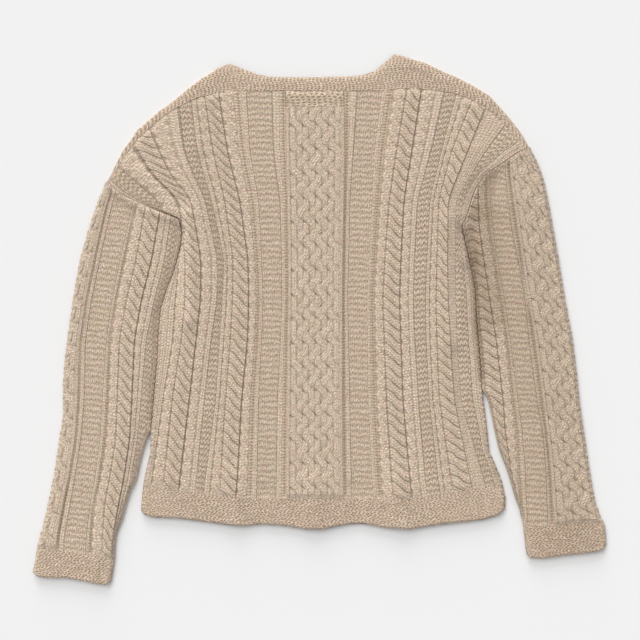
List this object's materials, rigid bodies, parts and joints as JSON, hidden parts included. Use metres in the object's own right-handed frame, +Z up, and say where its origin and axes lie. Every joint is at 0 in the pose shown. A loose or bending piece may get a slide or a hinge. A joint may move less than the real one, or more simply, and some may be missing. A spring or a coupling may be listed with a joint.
{
  "type": "cable knit sweater",
  "caption": "Long-sleeved cable-knit pullover with dropped shoulders and moss-stitch bands, laid flat on its front with the back uppermost.",
  "frame": {"origin": "centre of the bounding box, on the surface that the pullover lies on", "axes": "+X across the pullover from one cuff to the other, +Y from the lower edge to the neck, +Z up off the surface, out of the back panel"},
  "size_m": [0.7575, 0.7008, 0.0161],
  "materials": {
    "cable_knit": "matt heathered oatmeal wool, knitted in cables, ladders and ribs",
    "moss_knit": "matt heathered oatmeal wool in moss stitch",
    "plain_knit": "matt heathered oatmeal wool, plain knitting"
  },
  "bodies": {
    "root": {"back": "cable_knit", "front": "plain_knit", "sleeve_left": "cable_knit", "sleeve_right": "cable_knit", "shoulder_left": "moss_knit", "shoulder_right": "moss_knit", "neckband_back": "moss_knit", "neckband_front": "moss_knit", "hem_back": "moss_knit", "hem_front": "moss_knit", "cuff_left": "moss_knit", "cuff_right": "moss_knit"}
  },
  "joints": []
}
